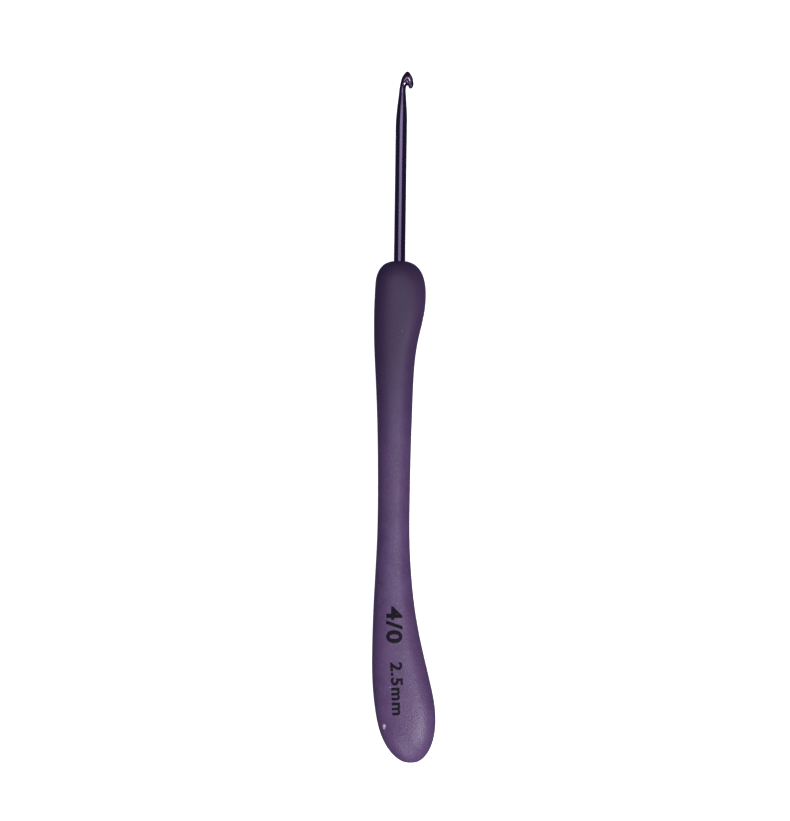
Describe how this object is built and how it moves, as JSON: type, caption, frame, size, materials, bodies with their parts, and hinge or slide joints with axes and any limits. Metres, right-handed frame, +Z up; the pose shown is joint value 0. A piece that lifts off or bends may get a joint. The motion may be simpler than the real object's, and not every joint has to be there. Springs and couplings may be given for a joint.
{
  "type": "crochet hook",
  "caption": "Slim anodised metal crochet hook with a tapered head and cut throat, moulded into a long soft grip that swells at both ends and narrows to a waist.",
  "frame": {"origin": "middle of the bounding box, on the flat surface that the hook lies on", "axes": "+Y along the hook from the butt of the grip to the tip of the head, +X to the side where the throat opens, +Z up, square to the hook's plane of symmetry"},
  "size_m": [0.0146, 0.1498, 0.0088],
  "materials": {
    "anodised_aluminium": "dark violet satin anodised, drawn along its length",
    "core_plastic": "plain dark moulded ABS, hidden inside the grip",
    "soft_grip": "muted purple elastomer with a fine matt texture"
  },
  "bodies": {
    "root": {"hook_shank": "anodised_aluminium", "grip_core": "core_plastic", "grip_sleeve": "soft_grip"}
  },
  "joints": []
}
